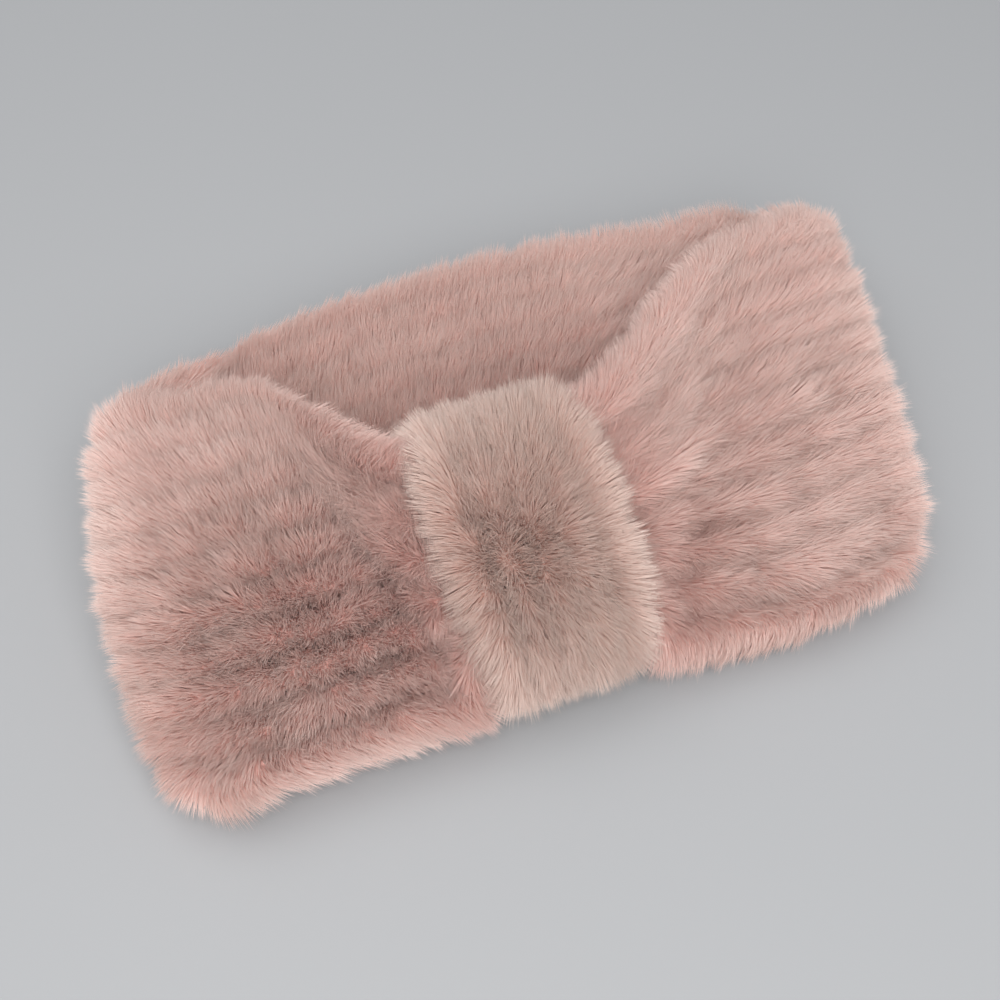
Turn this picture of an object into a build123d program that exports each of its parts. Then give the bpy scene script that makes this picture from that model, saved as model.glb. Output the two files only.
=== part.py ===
"""A knitted-fur headband: a wide elastic loop, gathered at the front by a short fur wrap.

The loop lies flattened on a table, as it does when it is put down.  X runs along the
flattened loop, the head opening looks along +Y, and Z is up.  The rear half of the loop
lies flat on the table and the front half slopes over it.

Each fur row is one strip of fur that is threaded through an elastic net, so its pile
stands on both faces of the net.  The rows run round the loop, side by side.
"""
from build123d import *
import os
from math import cos, radians, sin

os.makedirs("parts", exist_ok=True)

# ---- Driving dimensions, mm ------------------------------------------------------------
LOOP_LENGTH = 286.0  # fold to fold, over the fur
ROWS = 11  # fur strips side by side across the band
ROW_PITCH = 14.1
BAND_WIDTH = ROWS * ROW_PITCH
CORNER_RADIUS = 28.0  # the band's corners seen from above
LEAN = 0.75  # each mm up moves a row this much towards the wearer's chin, -Y

# The flattened loop's section at its low edge and at its open edge
LOW_Y, OPEN_Y = -80.0, 60.0
REAR_WALL = (10.0, 22.0)  # pile thickness of the panel on the table
HEAD_GAP = (2.5, 18.0)  # the space that the head goes through, closed up at the low edge
FRONT_WALL = (15.0, 22.0)  # pile thickness of the sloping front panel
END_WALL = (14.0, 24.0)  # pile thickness round the two folds
PRESSED_FLAT = 1.0  # the pile below the loop that the table presses flat
LOFT_REACH = 100.0  # the section is carried this far each way, then cut

# The gather under the wrap
GATHER_CENTRE = -10.0
GATHER_FLAT = 36.0  # half length of the straight, fully gathered stretch
GATHER_REACH = (54.0, 88.0)  # half length of the drawn-in stretch, at the low and open edge
GATHER_LOW, GATHER_HIGH = -48.0, 22.0  # edges of the gathered rows, on the table plane
TABLE_LOW = -67.5  # the low edge of the ungathered rows, on the table plane

# The elastic nets
NET_THICKNESS = 1.2
STRAND_WIDTH = 2.0
CROSS_THREADS = 9
CROSS_PITCH = 24.0
NET_MARGIN = 3.0  # the net's edge strands sit this far inside the fur's edge
THREAD = 1.0

# The fur wrap
WRAP_WIDTH = 62.0
WRAP_ROWS = 5
WRAP_TILT = 16.0
WRAP_CENTRE_Y, WRAP_CENTRE_Z = -39.0, 34.0
WRAP_OUTER = (92.0, 38.5)
WRAP_HOLE = (64.0, 12.0)
HOLE_SHIFT = (2.2, -5.2)  # the wrap's pile is pressed thinner behind the gather than on show
WRAP_CORNER = 19.0
HOLE_CORNER = 5.9
WRAP_CROSS_PITCH = 18.0

TALL = 90.0  # taller than anything in the model
LEAN_DIRECTION = Vector(0, -LEAN, 1).normalized()
LEAN_LENGTH = TALL * Vector(0, -LEAN, 1).length


# ---- The flattened loop's section ------------------------------------------------------
def along(pair, y):
    """A size that changes evenly from the low edge to the open edge."""
    return pair[0] + (pair[1] - pair[0]) * (y - LOW_Y) / (OPEN_Y - LOW_Y)


def loop_solid(depth, inset=0.0, inset_below=0.0):
    """The loop filled to a depth of 0, its outside, to 1, its lining, less an inset."""
    with BuildPart() as solid:
        for y in (-LOFT_REACH, LOFT_REACH):
            floor = along(REAR_WALL, y) * depth + inset + inset_below
            rear, gap, front = along(REAR_WALL, y), along(HEAD_GAP, y), along(FRONT_WALL, y)
            ceiling = rear + gap + front - front * depth - inset
            length = LOOP_LENGTH - 2 * (along(END_WALL, y) * depth + inset)
            with BuildSketch(Plane.XZ.offset(-y)):
                with Locations((0, (floor + ceiling) / 2)):
                    SlotOverall(length, ceiling - floor)
        loft(ruled=True)
    return solid.part


def loop_wall(outer, inner):
    """A closed wall between two filled loops."""
    with BuildPart() as wall:
        add(outer)
        add(inner, mode=Mode.SUBTRACT)
    return wall.part


middle_of_gap = Plane(
    origin=(0, LOW_Y, REAR_WALL[0] + HEAD_GAP[0] / 2),
    x_dir=(1, 0, 0),
    z_dir=Vector(
        0,
        -(REAR_WALL[1] + HEAD_GAP[1] / 2 - REAR_WALL[0] - HEAD_GAP[0] / 2),
        OPEN_Y - LOW_Y,
    ),
)


# ---- Rows in plan ----------------------------------------------------------------------
def row_edge(share, front):
    """The line between two rows, a share of the way up the band, from left to right."""
    side = TABLE_LOW + share * BAND_WIDTH
    if not front:
        Line((-LOFT_REACH * 2, side), (LOFT_REACH * 2, side))
        return
    drawn = GATHER_LOW + share * (GATHER_HIGH - GATHER_LOW)
    reach = GATHER_REACH[0] + share * (GATHER_REACH[1] - GATHER_REACH[0])
    left_side, left_flat = GATHER_CENTRE - reach, GATHER_CENTRE - GATHER_FLAT
    right_flat, right_side = GATHER_CENTRE + GATHER_FLAT, GATHER_CENTRE + reach
    left_mid, right_mid = (left_side + left_flat) / 2, (right_flat + right_side) / 2
    Line((-LOFT_REACH * 2, side), (left_side, side))
    Bezier((left_side, side), (left_mid, side), (left_mid, drawn), (left_flat, drawn))
    Line((left_flat, drawn), (right_flat, drawn))
    Bezier((right_flat, drawn), (right_mid, drawn), (right_mid, side), (right_side, side))
    Line((right_side, side), (LOFT_REACH * 2, side))


def strip(low_share, high_share, front):
    """A face between two such lines."""
    with BuildSketch() as face:
        with BuildLine():
            row_edge(low_share, front)
            row_edge(high_share, front)
            for x in (-LOFT_REACH * 2, LOFT_REACH * 2):
                low, high = (TABLE_LOW + s * BAND_WIDTH for s in (low_share, high_share))
                Line((x, low), (x, high))
        make_face()
    return face.sketch


def leaning_prism(low_share, high_share, front):
    """The strip carried up along the lean."""
    with BuildPart() as prism:
        with BuildSketch():
            add(strip(low_share, high_share, front))
        extrude(amount=LEAN_LENGTH, dir=LEAN_DIRECTION)
    return prism.part


def whole_band_prism(inset=0.0):
    """The whole band in plan, with its round corners, carried up along the lean."""
    length, width = LOOP_LENGTH + 2 - 2 * inset, BAND_WIDTH - 2 * inset
    with BuildPart() as prism:
        with BuildSketch():
            with Locations((0, TABLE_LOW + BAND_WIDTH / 2)):
                RectangleRounded(length, width, CORNER_RADIUS)
        extrude(amount=LEAN_LENGTH, dir=LEAN_DIRECTION)
    return prism.part


STRAND_SHARE = STRAND_WIDTH / BAND_WIDTH / 2
MARGIN_SHARE = NET_MARGIN / BAND_WIDTH + STRAND_SHARE
STRAND_SHARES = [MARGIN_SHARE] + [i / ROWS for i in range(1, ROWS)] + [1 - MARGIN_SHARE]


def net_prism(first, last, front):
    """Strands first to last in plan, which lie between the rows, and threads across them."""
    shares = STRAND_SHARES[first : last + 1]
    with BuildPart() as prism:
        with BuildSketch():
            for share in shares:
                add(strip(share - STRAND_SHARE, share + STRAND_SHARE, front))
            with BuildSketch(mode=Mode.PRIVATE) as across:
                add(strip(shares[0], shares[-1], front))
                with GridLocations(CROSS_PITCH, 1, CROSS_THREADS, 1):
                    Rectangle(STRAND_WIDTH, 2 * BAND_WIDTH, mode=Mode.INTERSECT)
            add(across.sketch)
        extrude(amount=LEAN_LENGTH, dir=LEAN_DIRECTION)
    return prism.part


def cut_to(solid, prism):
    """What two solids share."""
    with BuildPart() as shared:
        add(solid)
        add(prism, mode=Mode.INTERSECT)
    return shared.part


def side_of_gap(solid, keep):
    """The front or the rear half of a loop."""
    with BuildPart() as half:
        add(solid)
        split(bisect_by=middle_of_gap, keep=keep)
    return half.part


# ---- The wrap's frame ------------------------------------------------------------------
def wrap_plane(x):
    """A plane across the wrap: its own x runs up the slope, its own y stands off it."""
    slope = radians(WRAP_TILT)
    return Plane(
        origin=(x, WRAP_CENTRE_Y, WRAP_CENTRE_Z), x_dir=(0, cos(slope), sin(slope)), z_dir=(1, 0, 0)
    )


WRAP_LEFT = GATHER_CENTRE - WRAP_WIDTH / 2


def wrap_layer(depth, inset=0.0):
    """The wrap's section at a depth of 0, its outside, to 1, its lining, less an inset."""
    with BuildSketch() as layer:
        with Locations(tuple(shift * depth for shift in HOLE_SHIFT)):
            RectangleRounded(
                *[o + (h - o) * depth - 2 * inset for o, h in zip(WRAP_OUTER, WRAP_HOLE)],
                WRAP_CORNER + (HOLE_CORNER - WRAP_CORNER) * depth - inset,
            )
    return layer.sketch


def wrap_ring(outer, inner, left, width):
    """A ring round the gathered rows, between two layers of the wrap."""
    with BuildPart() as ring:
        with BuildSketch(wrap_plane(left)):
            add(outer)
            add(inner, mode=Mode.SUBTRACT)
        extrude(amount=width)
    return ring.part


# ---- Threads ---------------------------------------------------------------------------
def zigzag(plane, length, swing, steps):
    """A flat zigzag stitch along a plane's own y."""
    points = [
        ((-1) ** i * swing / 2, (i / steps - 0.5) * length) for i in range(steps + 1)
    ]
    with BuildPart() as stitches:
        with BuildSketch(plane.offset(-THREAD / 2)):
            with BuildLine():
                Polyline(*points)
            trace(line_width=THREAD)
        extrude(amount=THREAD)
    return stitches.part


REAR_NET_SLOPE = 0.5 * (REAR_WALL[1] - REAR_WALL[0]) / (OPEN_Y - LOW_Y)
SEAM_Y = 11.0
SEAM_LENGTH = 126.0
seam_plane = Plane(
    origin=(0, SEAM_Y, along(REAR_WALL, SEAM_Y) / 2),
    x_dir=(1, 0, 0),
    z_dir=Vector(0, -REAR_NET_SLOPE, 1),
)
band_join_seam = zigzag(seam_plane, SEAM_LENGTH, swing=5.0, steps=22)

# The wrap's ends meet behind the gathered rows, at the middle of its lower layer
lower_layer = -wrap_layer(0.5).bounding_box().min.Y
wrap_seam_plane = Plane(
    origin=wrap_plane(GATHER_CENTRE).from_local_coords(Vector(0, -lower_layer, 0)),
    x_dir=wrap_plane(GATHER_CENTRE).x_dir,
    z_dir=wrap_plane(GATHER_CENTRE).y_dir,
)
wrap_join_seam = zigzag(wrap_seam_plane, WRAP_WIDTH - 8, swing=4.0, steps=12)

TACK_SPREAD = 18.0  # the tacks' distance from the wrap's middle, up and down the slope
TACK_LENGTH = 12.5
with BuildPart() as tacks:
    for offset in (-TACK_SPREAD, TACK_SPREAD):
        base = wrap_plane(GATHER_CENTRE).from_local_coords(Vector(offset, -lower_layer, 0))
        with BuildSketch(Plane(origin=base, z_dir=wrap_plane(GATHER_CENTRE).y_dir)):
            Circle(THREAD / 2)
        extrude(amount=TACK_LENGTH)
wrap_tack_stitches = tacks.part


# ---- Nets ------------------------------------------------------------------------------
def less(solid, *others):
    """A solid with others taken out of it."""
    with BuildPart() as rest:
        add(solid)
        for other in others:
            add(other, mode=Mode.SUBTRACT)
    return rest.part


whole_wrap = wrap_ring(wrap_layer(0), wrap_layer(1), WRAP_LEFT, WRAP_WIDTH)

net_wall = loop_wall(loop_solid(0.5, -NET_THICKNESS / 2), loop_solid(0.5, NET_THICKNESS / 2))
net_wall = cut_to(net_wall, whole_band_prism(inset=NET_MARGIN))
front_net_wall = side_of_gap(net_wall, Keep.TOP)
rear_net_wall = side_of_gap(net_wall, Keep.BOTTOM)


def net_between(first, last):
    """The band's net from one strand to another."""
    with BuildPart() as net:
        add(cut_to(front_net_wall, net_prism(first, last, front=True)))
        add(cut_to(rear_net_wall, net_prism(first, last, front=False)))
    return net.part


with BuildPart() as band_net:
    add(net_between(0, ROWS))
    add(band_join_seam, mode=Mode.SUBTRACT)
    add(wrap_tack_stitches, mode=Mode.SUBTRACT)

row_width = WRAP_WIDTH / WRAP_ROWS
net_outer = wrap_layer(0.5, -NET_THICKNESS / 2)
net_inner = wrap_layer(0.5, NET_THICKNESS / 2)
with BuildPart() as wrap_net:
    for i in range(WRAP_ROWS + 1):
        shift = NET_MARGIN if i == 0 else -NET_MARGIN if i == WRAP_ROWS else 0
        left = WRAP_LEFT + i * row_width + shift - STRAND_WIDTH / 2
        add(wrap_ring(net_outer, net_inner, left, STRAND_WIDTH))
    with BuildPart(mode=Mode.PRIVATE) as cross_threads:
        for i in (-1.5, -0.5, 0.5, 1.5):
            with BuildSketch(wrap_plane(WRAP_LEFT + NET_MARGIN)):
                with Locations((i * WRAP_CROSS_PITCH, 0)):
                    Rectangle(STRAND_WIDTH, TALL)
            extrude(amount=WRAP_WIDTH - 2 * NET_MARGIN)
    add(cut_to(wrap_ring(net_outer, net_inner, WRAP_LEFT, WRAP_WIDTH), cross_threads.part))
    add(wrap_join_seam, mode=Mode.SUBTRACT)
    add(wrap_tack_stitches, mode=Mode.SUBTRACT)


# ---- Fur -------------------------------------------------------------------------------
with BuildPart() as table_side:
    Box(2 * LOOP_LENGTH, 2 * LOOP_LENGTH, TALL, align=(Align.CENTER, Align.CENTER, Align.MAX))
fur_wall = loop_wall(loop_solid(0, inset_below=-PRESSED_FLAT), loop_solid(1))
fur_wall = less(cut_to(fur_wall, whole_band_prism()), whole_wrap, table_side.part)
front_wall = side_of_gap(fur_wall, Keep.TOP)
rear_wall = side_of_gap(fur_wall, Keep.BOTTOM)


def band_fur_row(i):
    """One strip of fur round the loop, with the net and the threads let into it."""
    with BuildPart() as row:
        add(cut_to(front_wall, leaning_prism(i / ROWS, (i + 1) / ROWS, front=True)))
        add(cut_to(rear_wall, leaning_prism(i / ROWS, (i + 1) / ROWS, front=False)))
        add(net_between(i, i + 1), mode=Mode.SUBTRACT)
        add(band_join_seam, mode=Mode.SUBTRACT)
        add(wrap_tack_stitches, mode=Mode.SUBTRACT)
    return row.part


def wrap_fur_row(i):
    """One strip of fur round the gathered rows."""
    with BuildPart() as row:
        left = WRAP_LEFT + i * row_width
        add(wrap_ring(wrap_layer(0), wrap_layer(1), left, row_width))
        add(wrap_net.part, mode=Mode.SUBTRACT)
        add(wrap_join_seam, mode=Mode.SUBTRACT)
        add(wrap_tack_stitches, mode=Mode.SUBTRACT)
    return row.part


# ---- Write every piece -----------------------------------------------------------------
pieces = {
    "band_net": band_net.part,
    "band_join_seam": band_join_seam,
    "wrap_net": wrap_net.part,
    "wrap_join_seam": wrap_join_seam,
    "wrap_tack_stitches": wrap_tack_stitches,
}
for i in range(ROWS):
    pieces[f"band_fur_row_{i + 1:02d}"] = band_fur_row(i)
for i in range(WRAP_ROWS):
    pieces[f"wrap_fur_row_{i + 1:02d}"] = wrap_fur_row(i)

for name, piece in pieces.items():
    piece.label = name
    export_step(piece, f"parts/{name}.step")
    box = piece.bounding_box()
    print(name, len(piece.solids()), [round(v, 1) for v in (*box.min, *box.max)])
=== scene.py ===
# %% [markdown]
# # A knitted-fur headband
#
# The real object is a wide elastic loop made of fur strips, which lie side by side and run round
# the loop.  A short fur wrap gathers it at the front.  The loop is put down flattened on a table:
# its rear half lies flat, and its front half slopes over it.
#
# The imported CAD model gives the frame: how long, deep and high the loop is and how it stands.  Each
# fur strip of the CAD model is a plain solid, so each one is replaced here by real hair: thousands
# of fine closed spikes that stand on a thin pelt.

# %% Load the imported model
import math

import bpy
import numpy as np
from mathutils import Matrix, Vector, noise


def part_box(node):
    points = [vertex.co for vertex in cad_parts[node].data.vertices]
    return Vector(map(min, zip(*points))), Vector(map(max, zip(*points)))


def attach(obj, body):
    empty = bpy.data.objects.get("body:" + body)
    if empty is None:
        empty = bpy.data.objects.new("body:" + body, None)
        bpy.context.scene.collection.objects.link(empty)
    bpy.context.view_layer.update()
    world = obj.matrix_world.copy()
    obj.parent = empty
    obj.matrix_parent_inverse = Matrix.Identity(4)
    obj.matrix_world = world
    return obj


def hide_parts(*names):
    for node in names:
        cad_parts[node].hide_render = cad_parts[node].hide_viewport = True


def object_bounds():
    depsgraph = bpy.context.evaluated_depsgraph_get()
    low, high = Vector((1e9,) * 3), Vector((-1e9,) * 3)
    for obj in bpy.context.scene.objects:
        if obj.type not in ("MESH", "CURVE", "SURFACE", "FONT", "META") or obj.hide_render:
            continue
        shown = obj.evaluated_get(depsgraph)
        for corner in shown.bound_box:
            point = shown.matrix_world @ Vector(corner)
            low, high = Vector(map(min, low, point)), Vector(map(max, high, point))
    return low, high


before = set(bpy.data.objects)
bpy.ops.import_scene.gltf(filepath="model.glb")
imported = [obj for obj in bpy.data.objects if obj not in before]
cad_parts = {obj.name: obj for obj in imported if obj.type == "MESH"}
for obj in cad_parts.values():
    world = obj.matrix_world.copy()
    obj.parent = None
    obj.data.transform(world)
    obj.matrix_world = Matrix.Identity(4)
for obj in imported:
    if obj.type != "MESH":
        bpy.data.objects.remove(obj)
cad_low, cad_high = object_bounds()
MM = 0.001
BAND_ROWS = sorted(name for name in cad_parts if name.startswith("band_fur_row"))
WRAP_ROWS = sorted(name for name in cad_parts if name.startswith("wrap_fur_row"))
print("rows of fur:", len(BAND_ROWS), "round the loop,", len(WRAP_ROWS), "round the gather")
print("loop, mm:", [round(v / MM, 1) for v in cad_high - cad_low])

# %% [markdown]
# ## Camera, floor and light
#
# The band is seen from above its low edge, turned a little, with a normal lens.  The floor is a
# plain pale sheet.  The light is what a bright room gives: one very large soft source at the front,
# a weaker one high at the back left, and light from all round, so the hair casts only soft shadows.

# %% Camera
camera_data = bpy.data.cameras.new("camera")
camera_data.lens = 49.6
camera = bpy.data.objects.new("camera", camera_data)
camera.location = (-0.102, -0.2565, 0.407)
LOOK_AT = Vector((-0.0036, -0.0002, 0.0))
camera.rotation_euler = (LOOK_AT - camera.location).to_track_quat("-Z", "Y").to_euler()
bpy.context.scene.collection.objects.link(camera)
bpy.context.scene.camera = camera
bpy.context.scene.view_settings.view_transform = "Standard"
print("camera is", round((LOOK_AT - camera.location).length, 3), "m away")


# %% Helpers for node trees
def add_node(tree, kind, inputs=None, **settings):
    """A new node with its settings, and with inputs that are linked or given a value."""
    made = tree.nodes.new(kind)
    for name, value in settings.items():
        setattr(made, name, value)
    for key, value in (inputs or {}).items():
        if isinstance(value, bpy.types.NodeSocket):
            tree.links.new(value, made.inputs[key])
        else:
            made.inputs[key].default_value = value
    return made


def new_material(name):
    """A material with its Principled node, ready for a pattern."""
    material = bpy.data.materials.new(name)
    material.use_nodes = True
    return material, material.node_tree, material.node_tree.nodes["Principled BSDF"]


# %% Floor
floor_material, tree, shader = new_material("pale_floor")
shader.inputs["Base Color"].default_value = (0.372, 0.378, 0.388, 1)
shader.inputs["Roughness"].default_value = 0.6
FLOOR_HALF = 1.5
floor_mesh = bpy.data.meshes.new("floor")
corners = [(x * FLOOR_HALF, y * FLOOR_HALF, 0) for x, y in ((-1, -1), (1, -1), (1, 1), (-1, 1))]
floor_mesh.from_pydata(corners, [], [(0, 1, 2, 3)])
floor_mesh.materials.append(floor_material)
floor = bpy.data.objects.new("floor", floor_mesh)
bpy.context.scene.collection.objects.link(floor)


# %% Light
def area_light(name, place, aim, size, power, colour):
    """A large soft light at a place, turned to a point."""
    data = bpy.data.lights.new(name, "AREA")
    data.shape, data.size, data.energy, data.color = "SQUARE", size, power, colour
    light = bpy.data.objects.new(name, data)
    light.location = place
    light.rotation_euler = (Vector(aim) - Vector(place)).to_track_quat("-Z", "Y").to_euler()
    bpy.context.scene.collection.objects.link(light)


LIGHT_SIZE = 1.2
area_light("back", (-0.35, 0.30, 1.25), (0, 0, 0), LIGHT_SIZE, 7, (1.0, 0.99, 0.975))
area_light("front", (-0.15, -0.80, 1.05), (0, -0.15, 0), LIGHT_SIZE, 17.5, (1.0, 0.99, 0.98))
world = bpy.data.worlds.new("room")
world.use_nodes = True
world.node_tree.nodes["Background"].inputs["Color"].default_value = (0.93, 0.96, 1.0, 1)
world.node_tree.nodes["Background"].inputs["Strength"].default_value = 0.42
bpy.context.scene.world = world

# %% [markdown]
# ## The loop's shape
#
# A flattened loop is two panels and two folds.  The rear panel lies on the table.  The front panel
# slopes from the table, at its low edge, up to the open edge.  Under the wrap the front panel is
# drawn together to less than half its width, and the rows run into the gather in soft curves.
#
# A function gives a point of the loop's middle surface from two numbers: how far round the loop,
# and how far across the band, from 0 at the low edge to 1 at the open edge.  The CAD model's box
# gives the sizes.

# %% Sizes, in metres
PILE = 12 * MM  # how far the hair stands off its pelt
PELT = 7.0 * MM  # half the thickness of the pelt and its underfur
FOLD_BULGE = 17 * MM
MIDDLE_X = -3 * MM
FOLD_X = cad_high.x - PILE - 5 * MM - FOLD_BULGE
FRONT_LOW = Vector((0, cad_low.y + 8 * MM, 11 * MM))
FRONT_HIGH = Vector((0, 42 * MM, cad_high.z - 18 * MM))
FRONT_ROUNDING = 1.6  # above 1, the front panel rises fast at its low edge and then levels out
FLARE = 8 * MM  # how far the low edge swings out to the right of the wrap
FLARE_X, FLARE_REACH = 68 * MM, 60 * MM
REAR_LOW = Vector((0, -58 * MM, 10 * MM))
REAR_HIGH = Vector((0, cad_high.y - 17 * MM, 20 * MM))
REAR_BOW = 14 * MM  # how far the rear panel's open edge bows out at its middle
LEFT_SWELL = 1.5 * MM  # how far the left end swells out above its low corner
RIGHT_SKEW = 24 * MM  # how far the right end leans to the right as it rises
UNSKEWED = 0.41  # the place across the band where that lean is nothing
REAR_DRAW = 34 * MM  # how far the rear panel's open edge is drawn in at the left
SHOULDER = 6 * MM  # a rise of the rear panel's open edge near its right end
SHOULDER_X, SHOULDER_REACH = 116 * MM, 16 * MM
CORNER_LOW, CORNER_LEFT, CORNER_RIGHT = 11 * MM, 15 * MM, 6 * MM
CORNER_SHARE = 0.8  # how much of a full round corner the stiff pile keeps
PANEL_WIDTH = (FRONT_HIGH - FRONT_LOW).length
wrap_boxes = [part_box(name) for name in WRAP_ROWS]
GATHER_X = (wrap_boxes[0][0].x + wrap_boxes[-1][1].x) / 2
GATHER_FLAT = 24 * MM
GATHER_LOW_REACH, GATHER_LEFT_REACH, GATHER_RIGHT_REACH = 32 * MM, 76 * MM, 118 * MM
DRAWN_LOW = Vector((0, -66 * MM, 21 * MM))
DRAWN_HIGH = Vector((0, -8 * MM, 43 * MM))
PLEATS = 4.5
PLEAT_DEPTH = 3.0 * MM


# %% The middle surface
def ease(t):
    """A soft step from 0 to 1."""
    t = min(max(t, 0.0), 1.0)
    return t * t * (3 - 2 * t)


def corner_inset(side, across):
    """How far the band's round corners draw the folds in, at a place across the band."""
    high = CORNER_RIGHT if side > 0 else CORNER_LEFT
    corner = CORNER_LOW if across < 0.5 else high
    from_edge = min(across, 1 - across) * PANEL_WIDTH
    if from_edge >= corner:
        return 0.0
    return CORNER_SHARE * (corner - math.sqrt(corner**2 - (corner - from_edge) ** 2))


def fold_place(side, across):
    """Where a fold begins: side is -1 at the left and 1 at the right."""
    lean = RIGHT_SKEW * (across - UNSKEWED) if side > 0 else -LEFT_SWELL * ease(4 * across)
    return MIDDLE_X + side * (FOLD_X - corner_inset(side, across)) + lean


def gathered(x, across):
    """How far a point is drawn into the gather, from 0 to 1."""
    widest = GATHER_LEFT_REACH if x < GATHER_X else GATHER_RIGHT_REACH
    reach = GATHER_LOW_REACH + (widest - GATHER_LOW_REACH) * across
    return 1 - ease((abs(x - GATHER_X) - GATHER_FLAT) / (reach - GATHER_FLAT))


def front_point(x, across):
    """A point of the front panel's middle surface."""
    rise = 1 - (1 - across) ** FRONT_ROUNDING
    flare = FLARE * ease(1 - abs(x - FLARE_X) / FLARE_REACH) * (1 - across)
    y = FRONT_LOW.y - flare + (FRONT_HIGH.y - FRONT_LOW.y) * across
    z = FRONT_LOW.z + (FRONT_HIGH.z - FRONT_LOW.z) * rise
    gather = gathered(x, across)
    drawn = DRAWN_LOW.lerp(DRAWN_HIGH, across)
    pleat = PLEAT_DEPTH * gather * math.cos(2 * math.pi * PLEATS * (across - 0.5))
    return Vector((x, y + (drawn.y - y) * gather, z + (drawn.z - z) * gather + pleat))


def rear_point(x, across):
    """A point of the rear panel's middle surface."""
    bow = REAR_BOW * (1 - ((x - MIDDLE_X) / FOLD_X) ** 2)
    bow += SHOULDER * across**2 * math.exp(-(((x - SHOULDER_X) / SHOULDER_REACH) ** 2))
    y = REAR_LOW.y + bow + (REAR_HIGH.y - REAR_LOW.y) * across
    return Vector((x, y, REAR_LOW.z + (REAR_HIGH.z - REAR_LOW.z) * across**2))


FRONT_STEPS, FOLD_STEPS, REAR_STEPS = 150, 26, 104


def round_the_loop(across):
    """Points once round the loop: front left to right, fold, rear right to left, fold."""
    left, right = fold_place(-1, across), fold_place(1, across)
    rear_left = left + REAR_DRAW * ease(2 * across - 1)
    points = []
    for i in range(FRONT_STEPS):
        points.append(front_point(left + (right - left) * i / FRONT_STEPS, across))
    for side, front_x, rear_x in ((1, right, right), (-1, left, rear_left)):
        front, rear = front_point(front_x, across), rear_point(rear_x, across)
        middle, half = (front + rear) / 2, (front - rear) / 2
        for i in range(FOLD_STEPS):
            turn = math.pi * i / FOLD_STEPS
            turn = turn if side == 1 else math.pi - turn
            bulge = Vector((side * FOLD_BULGE * math.sin(turn) ** 0.8, 0, 0))
            points.append(middle + half * math.cos(turn) + bulge)
        if side == 1:
            for i in range(REAR_STEPS):
                points.append(rear_point(right + (rear_left - right) * i / REAR_STEPS, across))
    return points


LOOP_STEPS = FRONT_STEPS + 2 * FOLD_STEPS + REAR_STEPS
RIGHT_FOLD = range(FRONT_STEPS, FRONT_STEPS + FOLD_STEPS)
REAR_RANGE = range(RIGHT_FOLD.stop, RIGHT_FOLD.stop + REAR_STEPS)
ACROSS_STEPS = 4 * len(BAND_ROWS) + 1
surface = np.array(
    [[tuple(p) for p in round_the_loop(j / (ACROSS_STEPS - 1))] for j in range(ACROSS_STEPS)]
)


def unit(vectors):
    """Vectors made one long."""
    return vectors / np.maximum(np.linalg.norm(vectors, axis=-1, keepdims=True), 1e-12)


along_loop = unit(np.roll(surface, -1, axis=1) - np.roll(surface, 1, axis=1))
across_band = unit(np.gradient(surface, axis=0))
outward = unit(np.cross(along_loop, across_band))
print("loop, mm round:", round(np.linalg.norm(np.diff(surface[0], axis=0), axis=1).sum() / MM))

# %% [markdown]
# ## Pelts
#
# A fur strip is a narrow pelt with hair on both faces.  Each pelt is a closed tube round the loop
# with an oval section, so that the strips meet in shallow grooves, as knitted strips do.
#
# Each point of a pelt also says how its hair grows: which way it is combed, how long it is, how
# dense it stands and how deep its colour is.  The hair is combed away from the middle of a panel:
# up towards the open edge, down towards the low edge, and outward round the edges.

# %% Pelt meshes
SECTION = 12  # points round a pelt's oval section
UV_MAP = "OFBake"
SKIN_BAND = 0.28  # the pelts take this share of the UV map, and the hair takes the rest
ATTRIBUTES = {"comb": "FLOAT_VECTOR", "hair": "FLOAT", "dense": "FLOAT", "tone": "FLOAT"}


def sample(grid, row_position):
    """A line of a grid at a place between two of its rows."""
    at = min(max(row_position, 0), len(grid) - 1)
    low = min(int(at), len(grid) - 2)
    return grid[low] + (grid[low + 1] - grid[low]) * (at - low)


def tube_mesh(name, rings, growth):
    """A closed tube from rings of points, ring by ring, with the growth stored on its points."""
    count, size = rings.shape[0], rings.shape[1]
    faces = []
    for i in range(count):
        for k in range(size):
            a, b = i * size + k, i * size + (k + 1) % size
            c, d = (i + 1) % count * size + (k + 1) % size, (i + 1) % count * size + k
            faces.append((a, d, c, b))
    mesh = bpy.data.meshes.new(name)
    mesh.from_pydata(rings.reshape(-1, 3).tolist(), [], faces)
    corners = [
        (u / count, SKIN_BAND * v / size)
        for i in range(count)
        for k in range(size)
        for u, v in ((i, k), (i + 1, k), (i + 1, k + 1), (i, k + 1))
    ]
    mesh.uv_layers.new(name=UV_MAP).data.foreach_set("uv", np.array(corners, np.float32).ravel())
    for key, kind in ATTRIBUTES.items():
        attribute = mesh.attributes.new(key, kind, "POINT")
        field = "vector" if kind == "FLOAT_VECTOR" else "value"
        attribute.data.foreach_set(field, np.ascontiguousarray(growth[key], np.float32).ravel())
    return mesh


def spread(values, at):
    """Values given at places round the loop, carried evenly between them."""
    places, levels = zip(*values)
    return np.interp(at, places, levels)


def along_loop_at(across):
    """The way along the loop, at a place across the band."""
    return unit(sample(along_loop, across * (ACROSS_STEPS - 1)))


def sweep(x):
    """How far the hair is combed along the loop, away from the middle of its side."""
    places = (-150 * MM, -75 * MM, -30 * MM, 15 * MM, 60 * MM, 150 * MM)
    return np.interp(x, places, (-0.7, 0, 0.1, 0.1, 0.4, 0.7))


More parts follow.
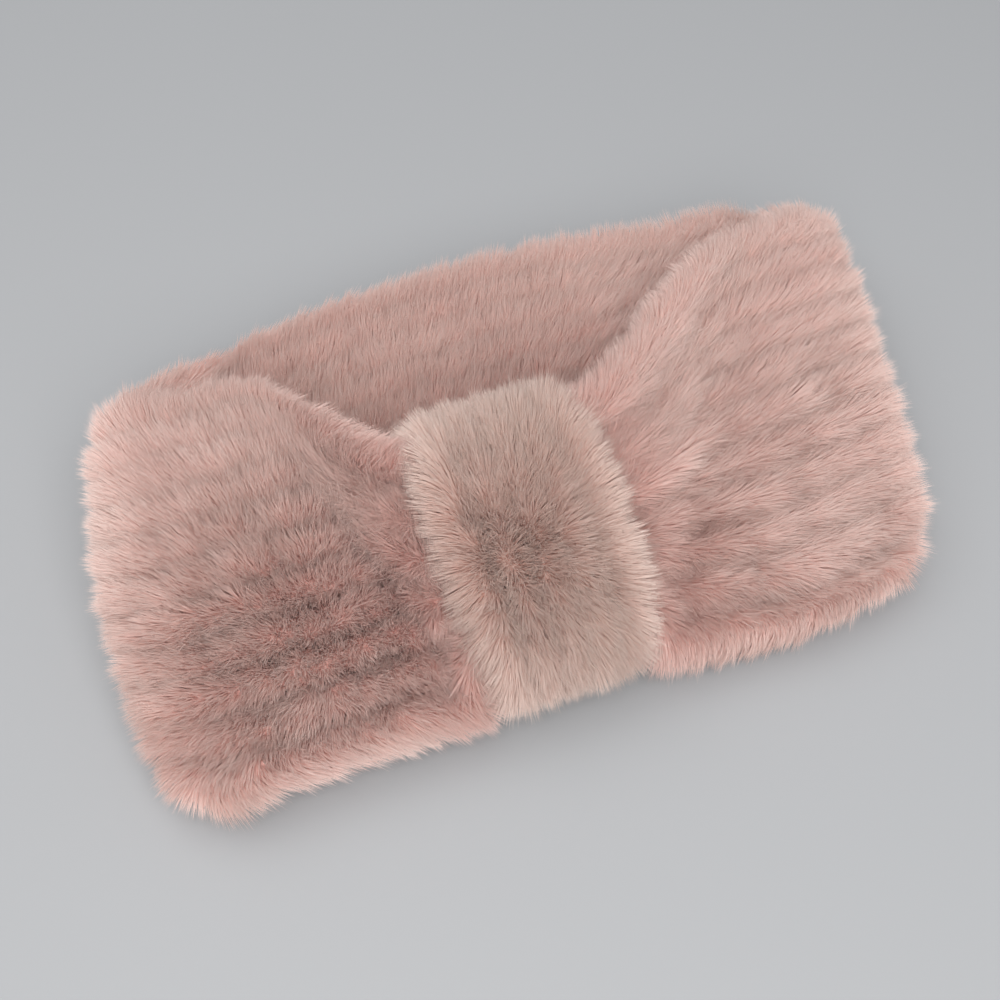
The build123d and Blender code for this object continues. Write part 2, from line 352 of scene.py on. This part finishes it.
LOWEST_ROW_SUNK = 3.5 * MM  # to the right of the wrap the lowest row is set off by a groove
OUTER_FLOW, OUTER_PARTING = 1.2, 0.42  # how strongly the outer hair is combed, and where it parts
INNER_FLOW, INNER_PARTING = 0.9, 0.3
EDGE_FAN, EDGE_COVER = 1.3, 0.78  # how far the edges' hair fans out, and how dense it stands
UNDER_SHORTER, UNDER_THINNER = 0.35, 0.84  # the hair that lies on the table is short and thin
# The fourth of these numbers is painted shade: how much deeper the colour is beside the wrap.
BLOTCH, BAND_TONE, BLOTCH_TONE, WRAP_SIDE_SHADE, EDGE_TONE = 26 * MM, 0.28, 0.24, 0.40, 0.06
WRAP_SIDE, WRAP_SIDE_REACH = 34 * MM, 15 * MM  # where the colour is deepened beside the wrap, as painted shade
is_rear = spread(
    [(0, 0), (RIGHT_FOLD.start, 0), (RIGHT_FOLD.stop, 1), (REAR_RANGE.stop, 1), (LOOP_STEPS, 0)],
    np.arange(LOOP_STEPS),
)


def blotches(points, size):
    """Smooth patches between -1 and 1 over a size in metres."""
    flat = points.reshape(-1, 3) / size
    return np.array([noise.noise(Vector(p)) for p in flat]).reshape(points.shape[:-1])


def left_to_right(x, left, right):
    """A value left of the wrap that changes to another right of it, where rows show more."""
    return np.interp(x, (-30 * MM, 35 * MM), (left, right))


def pelt(name, row):
    """One band row's pelt."""
    middle = (row + 0.5) / len(BAND_ROWS)
    half = 0.5 / len(BAND_ROWS)
    last = ACROSS_STEPS - 1
    rings = np.zeros((LOOP_STEPS, SECTION, 3))
    comb = np.zeros((LOOP_STEPS, SECTION, 3))
    hair = np.zeros((LOOP_STEPS, SECTION))
    dense = np.zeros((LOOP_STEPS, SECTION))
    right_side = np.interp(sample(surface, middle * last)[:, 0], (20 * MM, 50 * MM), (0, 1))
    sunk = LOWEST_ROW_SUNK * right_side * (1 - is_rear) * (row == 0)
    for k in range(SECTION):
        angle = 2 * math.pi * k / SECTION
        side, face = math.cos(angle), math.sin(angle)
        across = middle + half * side
        centre = sample(surface, across * last)
        normal = unit(sample(outward, across * last))
        width = unit(sample(across_band, across * last))
        lift = PELT * abs(face) ** 0.6 * (1 if face > 0 else -1)
        shingle = left_to_right(centre[:, 0], 1.0 * MM, 2.6 * MM)
        overlap = shingle * -side * (1 - is_rear) * max(face, 0)
        rings[:, k] = centre + normal * (lift + overlap - sunk)[:, None]
        outer_edge = (row == 0 and side < -0.4) or (row == len(BAND_ROWS) - 1 and side > 0.4)
        outside = face > 0
        if outside:
            flow = OUTER_FLOW * (across - OUTER_PARTING)
        else:
            flow = INNER_FLOW * (across - INNER_PARTING)
        ridge = left_to_right(centre[:, 0], 0.12, 0.38)
        fan = side * (np.full(LOOP_STEPS, EDGE_FAN) if outer_edge else ridge)
        up = face if outer_edge else math.copysign(1, face)
        along = along_loop_at(across) * (sweep(centre[:, 0]) * (1 - 2 * is_rear))[:, None]
        comb[:, k] = unit(normal * up + width * (flow + fan)[:, None] + along)
        if outside:
            hair[:, k] = 1.0 - UNDER_SHORTER * is_rear
            cover = 1 - UNDER_THINNER * is_rear
        else:
            hair[:, k] = 1.0
            cover = (0.18 + 0.62 * is_rear) * (0.25 + 0.75 * ease(across * 2.4 - 0.5))
        strength = EDGE_COVER if outer_edge else min(abs(face) * 2.2 - 0.2, 1.0)
        dense[:, k] = np.maximum(cover * strength, 0)
    # Beside the wrap, where the rows fold into a valley, the colour is pushed towards the deep dye:
    # painted shade.
    from_side = (np.abs(rings[..., 0] - GATHER_X) - WRAP_SIDE) / WRAP_SIDE_REACH
    shade_beside_wrap = np.exp(-(from_side**2)) * (1 - is_rear)[:, None]
    at_edge = abs(middle - 0.5) * 2
    tone = BAND_TONE + BLOTCH_TONE * blotches(rings, BLOTCH)
    tone = tone + WRAP_SIDE_SHADE * shade_beside_wrap + EDGE_TONE * at_edge**3
    return tube_mesh(name, rings, {"comb": comb, "hair": hair, "dense": dense, "tone": tone})


band_pelts = [pelt(f"pelt_{name}", row) for row, name in enumerate(BAND_ROWS)]
print("points in a pelt:", len(band_pelts[0].vertices))

# %% [markdown]
# ## The wrap's pelts
#
# The wrap is a second, shorter loop.  It goes round the gathered rows only, over the front and back
# through the head opening.  Its strips lie side by side along the band, and its hair is combed out
# from a whorl at the middle of the visible face.

# %% Wrap pelt meshes
WRAP_STEPS = 120
wrap_middle = (wrap_boxes[0][0] + wrap_boxes[-1][1]) / 2
WRAP_CENTRE = wrap_middle - Vector((0, 0.5 * MM, 2 * MM))
WRAP_HALF_LENGTH, WRAP_HALF_DEPTH = 37 * MM, 13.5 * MM
WRAP_SLOPE = math.radians(22)
WRAP_EDGE = 7 * MM  # the pile that stands past the wrap's outer pelts
WRAP_LEFT = wrap_boxes[0][0].x + WRAP_EDGE
WRAP_RIGHT = wrap_boxes[-1][1].x - WRAP_EDGE
WRAP_WAIST = 0.10  # the wrap narrows by this share where it turns round the band's edges
WRAP_THIN = 0.7  # the wrap's pelts are this share as thick as the band's
WHORL_COMB, WHORL_WIDE = 17, 1.2  # how strongly the hair is combed away from the whorl, per metre
WHORL_REACH, WRAP_BLOTCH = 20 * MM, 20 * MM


def wrap_point(turn, x):
    """A point of the wrap's middle surface, and the way out from it."""
    c, s = math.cos(turn), math.sin(turn)
    out = Vector((0, math.copysign(abs(c) ** 0.75, c), math.copysign(abs(s) ** 0.75, s)))
    flat = Vector((0, out.y * WRAP_HALF_LENGTH, out.z * WRAP_HALF_DEPTH))
    normal = Vector((0, c / WRAP_HALF_LENGTH, s / WRAP_HALF_DEPTH)).normalized()
    waist = 1 - WRAP_WAIST * c * c
    place = Vector((GATHER_X + (x - GATHER_X) * waist, 0, 0))
    cs, sn = math.cos(WRAP_SLOPE), math.sin(WRAP_SLOPE)
    place.y = WRAP_CENTRE.y + flat.y * cs - flat.z * sn
    place.z = WRAP_CENTRE.z + flat.y * sn + flat.z * cs
    return place, Vector((0, normal.y * cs - normal.z * sn, normal.y * sn + normal.z * cs))


def wrap_pelt(name, row):
    """One wrap row's pelt."""
    width = (WRAP_RIGHT - WRAP_LEFT) / len(WRAP_ROWS)
    rings = np.zeros((WRAP_STEPS, SECTION, 3))
    comb = np.zeros((WRAP_STEPS, SECTION, 3))
    hair = np.ones((WRAP_STEPS, SECTION))
    dense = np.zeros((WRAP_STEPS, SECTION))
    whorl = wrap_point(math.pi / 2, GATHER_X)[0]
    for i in range(WRAP_STEPS):
        turn = 2 * math.pi * i / WRAP_STEPS
        for k in range(SECTION):
            angle = 2 * math.pi * k / SECTION
            side, face = math.cos(angle), math.sin(angle)
            x = WRAP_LEFT + width * (row + 0.5 + 0.5 * side)
            place, normal = wrap_point(turn, x)
            thick = PELT * abs(face) ** 0.6 * math.copysign(1, face)
            rings[i, k] = place + normal * thick * WRAP_THIN
            outer_edge = (row == 0 and side < -0.4) or (row == len(WRAP_ROWS) - 1 and side > 0.4)
            away = (place - whorl) * WHORL_COMB
            away.x *= WHORL_WIDE
            fan = Vector((side * (0.8 if outer_edge else 0.3), 0, 0))
            up = face if outer_edge else math.copysign(1, face)
            comb[i, k] = (normal * up + away + fan).normalized()
            if outer_edge and face > -0.1:
                strength = 0.9
            else:
                strength = max(min(face * 2.2 - 0.2, 1.0), 0)
            hidden = 1 - ease((math.sin(turn) + 0.9) * 1.5)
            dense[i, k] = strength * (1 - 0.75 * hidden)
    from_whorl = np.linalg.norm(rings - np.array(whorl), axis=-1)
    near_whorl = np.exp(-(from_whorl / WHORL_REACH) ** 2)
    tone = 0.25 + 0.25 * blotches(rings, WRAP_BLOTCH) + 0.25 * near_whorl
    return tube_mesh(name, rings, {"comb": comb, "hair": hair, "dense": dense, "tone": tone})


wrap_pelts = [wrap_pelt(f"pelt_{name}", row) for row, name in enumerate(WRAP_ROWS)]

# %% [markdown]
# ## One hair
#
# Seen close, a lock of fur fibres stands together at its root and runs out to a fine tip.  A
# three-sided spike is closed and has only four faces, so hundreds of thousands of them stay light.
# Its points say how far along the hair they are.

# %% Spike mesh
spike = bpy.data.meshes.new("hair_spike")
foot = [(math.cos(2 * math.pi * i / 3), math.sin(2 * math.pi * i / 3), 0) for i in range(3)]
spike.from_pydata([*foot, (0, 0, 1)], [], [(0, 2, 1), (0, 1, 3), (1, 2, 3), (2, 0, 3)])
for name, values in (("grown", [0.0, 0.0, 0.0, 1.0]), ("side", [0.0, 0.5, 1.0, 0.5])):
    spike.attributes.new(name, "FLOAT", "POINT").data.foreach_set("value", values)
spike_object = bpy.data.objects.new("hair_spike", spike)
bpy.context.scene.collection.objects.link(spike_object)

# %% [markdown]
# ## The fur tree
#
# Geometry Nodes scatter the hairs over a pelt and turn each one to the way its pelt is combed.
# Smooth noise shifts the tips of neighbouring hairs together or apart, which is how soft fur forms
# tufts and partings.  The tree ends with plain geometry, because instances aren't exported.

# %% Build the tree
HAIR_BAND, HAIR_BAND_END = 0.30, 0.98  # the hair's part of the UV map
TINT_SHARE, SIDE_SHARE = 0.95, 0.04  # how the hair's part is divided across
LENGTHS, THICKNESSES, TINTS = (0.82, 1.06), (0.7, 1.3), (-0.35, 0.35)  # how far hairs differ
fur_tree = bpy.data.node_groups.new("fur", "GeometryNodeTree")
for name, kind in (
    ("Pelt", "NodeSocketGeometry"),
    ("Hair", "NodeSocketObject"),
    ("Density", "NodeSocketFloat"),
    ("Length", "NodeSocketFloat"),
    ("Thickness", "NodeSocketFloat"),
    ("Tuft size", "NodeSocketFloat"),
    ("Tuft pull", "NodeSocketFloat"),
    ("Swirl size", "NodeSocketFloat"),
    ("Swirl pull", "NodeSocketFloat"),
    ("Stray", "NodeSocketFloat"),
    ("Lowest", "NodeSocketFloat"),
    ("Seed", "NodeSocketInt"),
    ("Hair material", "NodeSocketMaterial"),
    ("Pelt material", "NodeSocketMaterial"),
):
    fur_tree.interface.new_socket(name, in_out="INPUT", socket_type=kind)
fur_tree.interface.new_socket("Fur", in_out="OUTPUT", socket_type="NodeSocketGeometry")


def math_node(operation, *values):
    """A maths node's output in the fur tree."""
    made = add_node(fur_tree, "ShaderNodeMath", dict(enumerate(values)), operation=operation)
    return made.outputs[0]


def vector_node(operation, inputs):
    """A vector maths node's output in the fur tree."""
    return add_node(fur_tree, "ShaderNodeVectorMath", inputs, operation=operation).outputs[0]


def named(name, kind="FLOAT"):
    """An attribute of the pelt or the hair."""
    node = add_node(fur_tree, "GeometryNodeInputNamedAttribute", {"Name": name}, data_type=kind)
    return node.outputs[0]


def soft_noise(size):
    """A smooth vector that wanders between -1 and 1 over a size in metres."""
    place = add_node(fur_tree, "GeometryNodeInputPosition").outputs[0]
    scaled = vector_node("SCALE", {0: place, "Scale": math_node("DIVIDE", 1.0, size)})
    settings = {"Vector": scaled, "Scale": 1.0, "Detail": 2.0}
    wander = add_node(fur_tree, "ShaderNodeTexNoise", settings)
    centred = vector_node("SUBTRACT", {0: wander.outputs["Color"], 1: (0.5, 0.5, 0.5)})
    return vector_node("SCALE", {0: centred, "Scale": 3.0})


def random_between(low, high, seed_shift):
    """A random number for each hair."""
    seed = math_node("ADD", start.outputs["Seed"], seed_shift)
    return add_node(fur_tree, "FunctionNodeRandomValue", {2: low, 3: high, "Seed": seed}).outputs[1]


start = add_node(fur_tree, "NodeGroupInput")
density = math_node("MULTIPLY", named("dense"), start.outputs["Density"])
scatter = add_node(
    fur_tree,
    "GeometryNodeDistributePointsOnFaces",
    {"Mesh": start.outputs["Pelt"], "Density": density, "Seed": start.outputs["Seed"]},
)
length = math_node("MULTIPLY", named("hair"), start.outputs["Length"])
length = math_node("MULTIPLY", length, random_between(*LENGTHS, 1))
tuft = vector_node(
    "SCALE", {0: soft_noise(start.outputs["Tuft size"]), "Scale": start.outputs["Tuft pull"]}
)
swirl = vector_node(
    "SCALE", {0: soft_noise(start.outputs["Swirl size"]), "Scale": start.outputs["Swirl pull"]}
)
stray = add_node(
    fur_tree, "FunctionNodeRandomValue",
    {0: (-1, -1, -1), 1: (1, 1, 1), "Seed": start.outputs["Seed"]},
    data_type="FLOAT_VECTOR",
).outputs[0]
stray = vector_node("SCALE", {0: stray, "Scale": start.outputs["Stray"]})
combed = vector_node("ADD", {0: named("comb", "FLOAT_VECTOR"), 1: swirl})
aim = vector_node("ADD", {0: combed, 1: stray})
turned = add_node(fur_tree, "FunctionNodeAlignRotationToVector", {"Vector": aim}, axis="Z")
thick = math_node("MULTIPLY", start.outputs["Thickness"], random_between(*THICKNESSES, 2))
size = add_node(fur_tree, "ShaderNodeCombineXYZ", {0: thick, 1: thick, 2: length}).outputs[0]
hair_source = add_node(
    fur_tree, "GeometryNodeObjectInfo", {"Object": start.outputs["Hair"], "As Instance": True}
)
bend = vector_node("SCALE", {0: tuft, "Scale": length})
tint = math_node("ADD", named("tone"), random_between(*TINTS, 3))
tint = add_node(fur_tree, "ShaderNodeClamp", {"Value": tint}).outputs[0]
points = scatter.outputs["Points"]
kept = add_node(fur_tree, "GeometryNodeCaptureAttribute", {"Geometry": points}, domain="POINT")
kept.capture_items.new("VECTOR", "bend")
kept.capture_items.new("FLOAT", "tint")
fur_tree.links.new(bend, kept.inputs[1])
fur_tree.links.new(tint, kept.inputs[2])
hairs = add_node(
    fur_tree,
    "GeometryNodeInstanceOnPoints",
    {"Points": kept.outputs["Geometry"], "Instance": hair_source.outputs["Geometry"],
     "Rotation": turned.outputs[0], "Scale": size},
)
with_bend = add_node(
    fur_tree, "GeometryNodeStoreNamedAttribute",
    {"Geometry": hairs.outputs[0], "Name": "bend", "Value": kept.outputs[1]},
    data_type="FLOAT_VECTOR", domain="INSTANCE",
)
with_tint = add_node(
    fur_tree, "GeometryNodeStoreNamedAttribute",
    {"Geometry": with_bend.outputs[0], "Name": "tint", "Value": kept.outputs[2]},
    data_type="FLOAT", domain="INSTANCE",
)
real = add_node(fur_tree, "GeometryNodeRealizeInstances", {"Geometry": with_tint.outputs[0]})
shift = vector_node("SCALE", {0: named("bend", "FLOAT_VECTOR"), "Scale": named("grown")})
bent = add_node(fur_tree, "GeometryNodeSetPosition", {"Geometry": real.outputs[0], "Offset": shift})
spot = add_node(fur_tree, "GeometryNodeInputPosition").outputs[0]
parts = add_node(fur_tree, "ShaderNodeSeparateXYZ", {0: spot})
raised = math_node("MAXIMUM", parts.outputs[2], start.outputs["Lowest"])
above = add_node(
    fur_tree, "ShaderNodeCombineXYZ", {0: parts.outputs[0], 1: parts.outputs[1], 2: raised}
)
laid = add_node(
    fur_tree, "GeometryNodeSetPosition", {"Geometry": bent.outputs[0], "Position": above.outputs[0]}
)
tint_place = math_node("MULTIPLY", named("tint"), TINT_SHARE)
side_place = math_node("MULTIPLY", named("side"), SIDE_SHARE)
tint_place = math_node("ADD", tint_place, side_place)
grown_place = math_node("MULTIPLY_ADD", named("grown"), HAIR_BAND_END - HAIR_BAND, HAIR_BAND)
uv = add_node(fur_tree, "ShaderNodeCombineXYZ", {0: tint_place, 1: grown_place}).outputs[0]
mapped = add_node(
    fur_tree, "GeometryNodeStoreNamedAttribute",
    {"Geometry": laid.outputs[0], "Name": UV_MAP, "Value": uv},
    data_type="FLOAT2", domain="CORNER",
)
coloured = add_node(
    fur_tree, "GeometryNodeSetMaterial",
    {"Geometry": mapped.outputs[0], "Material": start.outputs["Hair material"]},
)
skin = add_node(
    fur_tree, "GeometryNodeSetMaterial",
    {"Geometry": start.outputs["Pelt"], "Material": start.outputs["Pelt material"]},
)
joined = add_node(fur_tree, "GeometryNodeJoinGeometry")
fur_tree.links.new(skin.outputs[0], joined.inputs[0])
fur_tree.links.new(coloured.outputs[0], joined.inputs[0])
add_node(fur_tree, "NodeGroupOutput", {0: joined.outputs[0]})


# %% [markdown]
# ## Fur materials
#
# The hairs differ a little from each other in dye.  Each hair is rosiest at its root, light there
# too,
# and greyest at its tip: painted light, for real fur lets light through to its depth and lights
# its roots there, and these solid hairs don't.  A sheen stands for the fine down.

# %% Fur materials
def shade_ramp(tree, factor, shades):
    """A ramp through the shades of a hair's root, middle and tip."""
    ramp = add_node(tree, "ShaderNodeValToRGB", {"Fac": factor})
    stops = ramp.color_ramp.elements
    stops[0].color, stops[1].color = (*shades[0], 1), (*shades[2], 1)
    stops.new(0.45).color = (*shades[1], 1)
    return ramp.outputs["Color"]


def fur_material(name, pale, deep, sheen_tint):
    """Hair that greys from its light root to its tip, as painted light, between a pale and a deep
    dye.
    """
    material, tree, shader = new_material(name)
    grown = add_node(tree, "ShaderNodeAttribute", attribute_name="grown").outputs["Fac"]
    tint = add_node(tree, "ShaderNodeAttribute", attribute_name="tint").outputs["Fac"]
    mix = add_node(tree, "ShaderNodeMix", {"Factor": tint}, data_type="RGBA")
    tree.links.new(shade_ramp(tree, grown, pale), mix.inputs[6])
    tree.links.new(shade_ramp(tree, grown, deep), mix.inputs[7])
    tree.links.new(mix.outputs[2], shader.inputs["Base Color"])
    shader.inputs["Roughness"].default_value = 0.8
    shader.inputs["Specular IOR Level"].default_value = 0.2
    shader.inputs["Sheen Weight"].default_value = 0.25
    shader.inputs["Sheen Roughness"].default_value = 0.5
    shader.inputs["Sheen Tint"].default_value = (*sheen_tint, 1)
    return material


def pelt_material(name, low, high):
    """The woolly underfur on the pelt."""
    material, tree, shader = new_material(name)
    place = add_node(tree, "ShaderNodeTexCoord").outputs["Object"]
    wool = add_node(tree, "ShaderNodeTexNoise", {"Vector": place, "Scale": 700.0, "Detail": 3.0})
    ramp = add_node(tree, "ShaderNodeValToRGB", {"Fac": wool.outputs["Fac"]})
    ramp.color_ramp.elements[0].color = (*low, 1)
    ramp.color_ramp.elements[1].color = (*high, 1)
    tree.links.new(ramp.outputs["Color"], shader.inputs["Base Color"])
    height = {"Height": wool.outputs["Fac"], "Strength": 0.6, "Distance": 0.001}
    bump = add_node(tree, "ShaderNodeBump", height)
    tree.links.new(bump.outputs["Normal"], shader.inputs["Normal"])
    shader.inputs["Roughness"].default_value = 0.9
    return material


band_hair = fur_material(
    "band_fur_hair",
    ((0.95, 0.66, 0.60), (0.89, 0.68, 0.62), (0.75, 0.62, 0.57)),
    ((0.95, 0.55, 0.48), (0.87, 0.57, 0.51), (0.74, 0.54, 0.49)),
    (1, 0.92, 0.9),
)
# The underfur's rosy colour is its dye, made lighter here as painted light for the light that real
# fur lets into its depth.
band_skin = pelt_material("band_fur_underfur", (0.86, 0.53, 0.47), (0.93, 0.64, 0.58))
wrap_hair = fur_material(
    "wrap_fur_hair",
    ((0.92, 0.66, 0.58), (0.84, 0.66, 0.59), (0.72, 0.61, 0.55)),
    ((0.90, 0.57, 0.49), (0.81, 0.57, 0.50), (0.70, 0.53, 0.47)),
    (1, 0.94, 0.9),
)
wrap_skin = pelt_material("wrap_fur_underfur", (0.74, 0.53, 0.46), (0.84, 0.64, 0.57))


# %% Grow the fur
def made_by(tree, mesh, name, values):
    """A new object whose plain mesh is what a tree makes of a mesh."""
    holder = bpy.data.objects.new(name + "_holder", mesh)
    bpy.context.scene.collection.objects.link(holder)
    modifier = holder.modifiers.new(tree.name, "NODES")
    modifier.node_group = tree
    for item in tree.interface.items_tree:
        if item.in_out == "INPUT" and item.name in values:
            modifier[item.identifier] = values[item.name]
    evaluated = holder.evaluated_get(bpy.context.evaluated_depsgraph_get())
    plain = bpy.data.meshes.new_from_object(evaluated)
    plain.name = name
    bpy.data.objects.remove(holder)
    made = bpy.data.objects.new(name, plain)
    bpy.context.scene.collection.objects.link(made)
    return made


def grow(mesh, name, seed, sizes, hair_material, skin_material):
    """Fur on one pelt, in place of its CAD strip.  Returns its number of triangles."""
    values = {
        "Hair": spike_object, "Lowest": 0.3 * MM, "Seed": seed,
        "Hair material": hair_material, "Pelt material": skin_material, **sizes,
    }
    piece = made_by(fur_tree, mesh, name + "_fur", values)
    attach(piece, "root")
    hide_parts(name)
    return sum(len(polygon.vertices) - 2 for polygon in piece.data.polygons)


PER_MM2 = 1e6
BAND_FUR = {
    "Density": 4.3 * PER_MM2, "Length": 11.5 * MM, "Thickness": 0.19 * MM,
    "Tuft size": 3.6 * MM, "Tuft pull": 0.3, "Swirl size": 15 * MM, "Swirl pull": 0.26,
    "Stray": 0.15,
}
WRAP_FUR = {**BAND_FUR, "Density": 5.0 * PER_MM2, "Swirl pull": 0.18}
triangles = []
for row, (mesh, name) in enumerate(zip(band_pelts, BAND_ROWS)):
    triangles.append(grow(mesh, name, row, BAND_FUR, band_hair, band_skin))
for row, (mesh, name) in enumerate(zip(wrap_pelts, WRAP_ROWS)):
    triangles.append(grow(mesh, name, 100 + row, WRAP_FUR, wrap_hair, wrap_skin))
bpy.data.objects.remove(spike_object)
print("triangles in all the fur:", sum(triangles), "and in its largest piece:", max(triangles))

# %% [markdown]
# ## Net and thread
#
# The elastic nets lie inside the fur and follow its soft shape, so each one is drawn again here as
# yarn along the loop's middle surface: a strand between every two rows, and short threads across.
# A small tree turns plain lines into yarn.  The seams and tacks keep their CAD shapes.


# %% Yarn material
def yarn_material(name, low, high, pitch):
    """Twisted yarn: fine slanting ribs and an uneven dye."""
    material, tree, shader = new_material(name)
    place = add_node(tree, "ShaderNodeTexCoord").outputs["Object"]
    ribs = add_node(
        tree, "ShaderNodeTexWave", {"Vector": place, "Scale": 1 / pitch / 20, "Distortion": 1.5},
        bands_direction="DIAGONAL",
    )
    ramp = add_node(tree, "ShaderNodeValToRGB", {"Fac": ribs.outputs["Fac"]})
    ramp.color_ramp.elements[0].color = (*low, 1)
    ramp.color_ramp.elements[1].color = (*high, 1)
    tree.links.new(ramp.outputs["Color"], shader.inputs["Base Color"])
    shader.inputs["Roughness"].default_value = 0.8
    return material


net_yarn = yarn_material("elastic_net_yarn", (0.36, 0.20, 0.18), (0.50, 0.31, 0.28), 0.8 * MM)
sewing_thread = yarn_material("sewing_thread", (0.42, 0.27, 0.24), (0.56, 0.38, 0.35), 0.4 * MM)

# %% The yarn tree
yarn_tree = bpy.data.node_groups.new("yarn", "GeometryNodeTree")
for name, kind in (
    ("Lines", "NodeSocketGeometry"),
    ("Radius", "NodeSocketFloat"),
    ("Yarn material", "NodeSocketMaterial"),
):
    yarn_tree.interface.new_socket(name, in_out="INPUT", socket_type=kind)
yarn_tree.interface.new_socket("Yarn", in_out="OUTPUT", socket_type="NodeSocketGeometry")
start = add_node(yarn_tree, "NodeGroupInput")
lines = add_node(yarn_tree, "GeometryNodeMeshToCurve", {"Mesh": start.outputs["Lines"]})
section = add_node(
    yarn_tree, "GeometryNodeCurvePrimitiveCircle",
    {"Resolution": 6, "Radius": start.outputs["Radius"]},
)
tube = add_node(
    yarn_tree, "GeometryNodeCurveToMesh",
    {"Curve": lines.outputs[0], "Profile Curve": section.outputs[0], "Fill Caps": True},
)
real = add_node(yarn_tree, "GeometryNodeRealizeInstances", {"Geometry": tube.outputs[0]})
coloured = add_node(
    yarn_tree, "GeometryNodeSetMaterial",
    {"Geometry": real.outputs[0], "Material": start.outputs["Yarn material"]},
)
add_node(yarn_tree, "NodeGroupOutput", {0: coloured.outputs[0]})


# %% Draw the nets
def net(name, rings, threads):
    """Yarn along closed rings and open threads, in place of a CAD net."""
    points, edges = [], []
    for line, closed in [(ring, True) for ring in rings] + [(thread, False) for thread in threads]:
        first, count = len(points), len(line)
        points += [tuple(p) for p in line]
        edges += [(first + i, first + i + 1) for i in range(count - 1)]
        edges += [(first + count - 1, first)] if closed else []
    mesh = bpy.data.meshes.new(name + "_lines")
    mesh.from_pydata(points, edges, [])
    values = {"Radius": YARN_RADIUS, "Yarn material": net_yarn}
    piece = made_by(yarn_tree, mesh, name + "_yarn", values)
    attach(piece, "root")
    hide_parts(name)
    print(piece.name, "has", len(piece.data.polygons), "faces")


YARN_RADIUS = 0.7 * MM
EDGE_SHARE = 0.035  # the outer strands run this share of the band's width inside its edges
shares = [EDGE_SHARE] + [i / len(BAND_ROWS) for i in range(1, len(BAND_ROWS))] + [1 - EDGE_SHARE]
strands = [sample(surface, share * (ACROSS_STEPS - 1))[::2] for share in shares]
THREAD_STEPS = 13  # steps of the surface from one cross thread to the next
threads = [surface[2:-2:2, i] for i in range(0, LOOP_STEPS, THREAD_STEPS)]
net("band_net", strands, threads)

wrap_turns = [2 * math.pi * i / 60 for i in range(60)]
strand_places = np.linspace(WRAP_LEFT + 3 * MM, WRAP_RIGHT - 3 * MM, len(WRAP_ROWS) + 1)
strands = [[wrap_point(turn, x)[0] for turn in wrap_turns] for x in strand_places]
threads = [[wrap_point(turn, x)[0] for x in strand_places] for turn in wrap_turns[3::8]]
net("wrap_net", strands, threads)

# %% Finish the seams and tacks
for name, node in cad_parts.items():
    if name.endswith(("_seam", "_stitches")):
        node.data.materials.clear()
        node.data.materials.append(sewing_thread)
        print(name, "is finished as", sewing_thread.name)
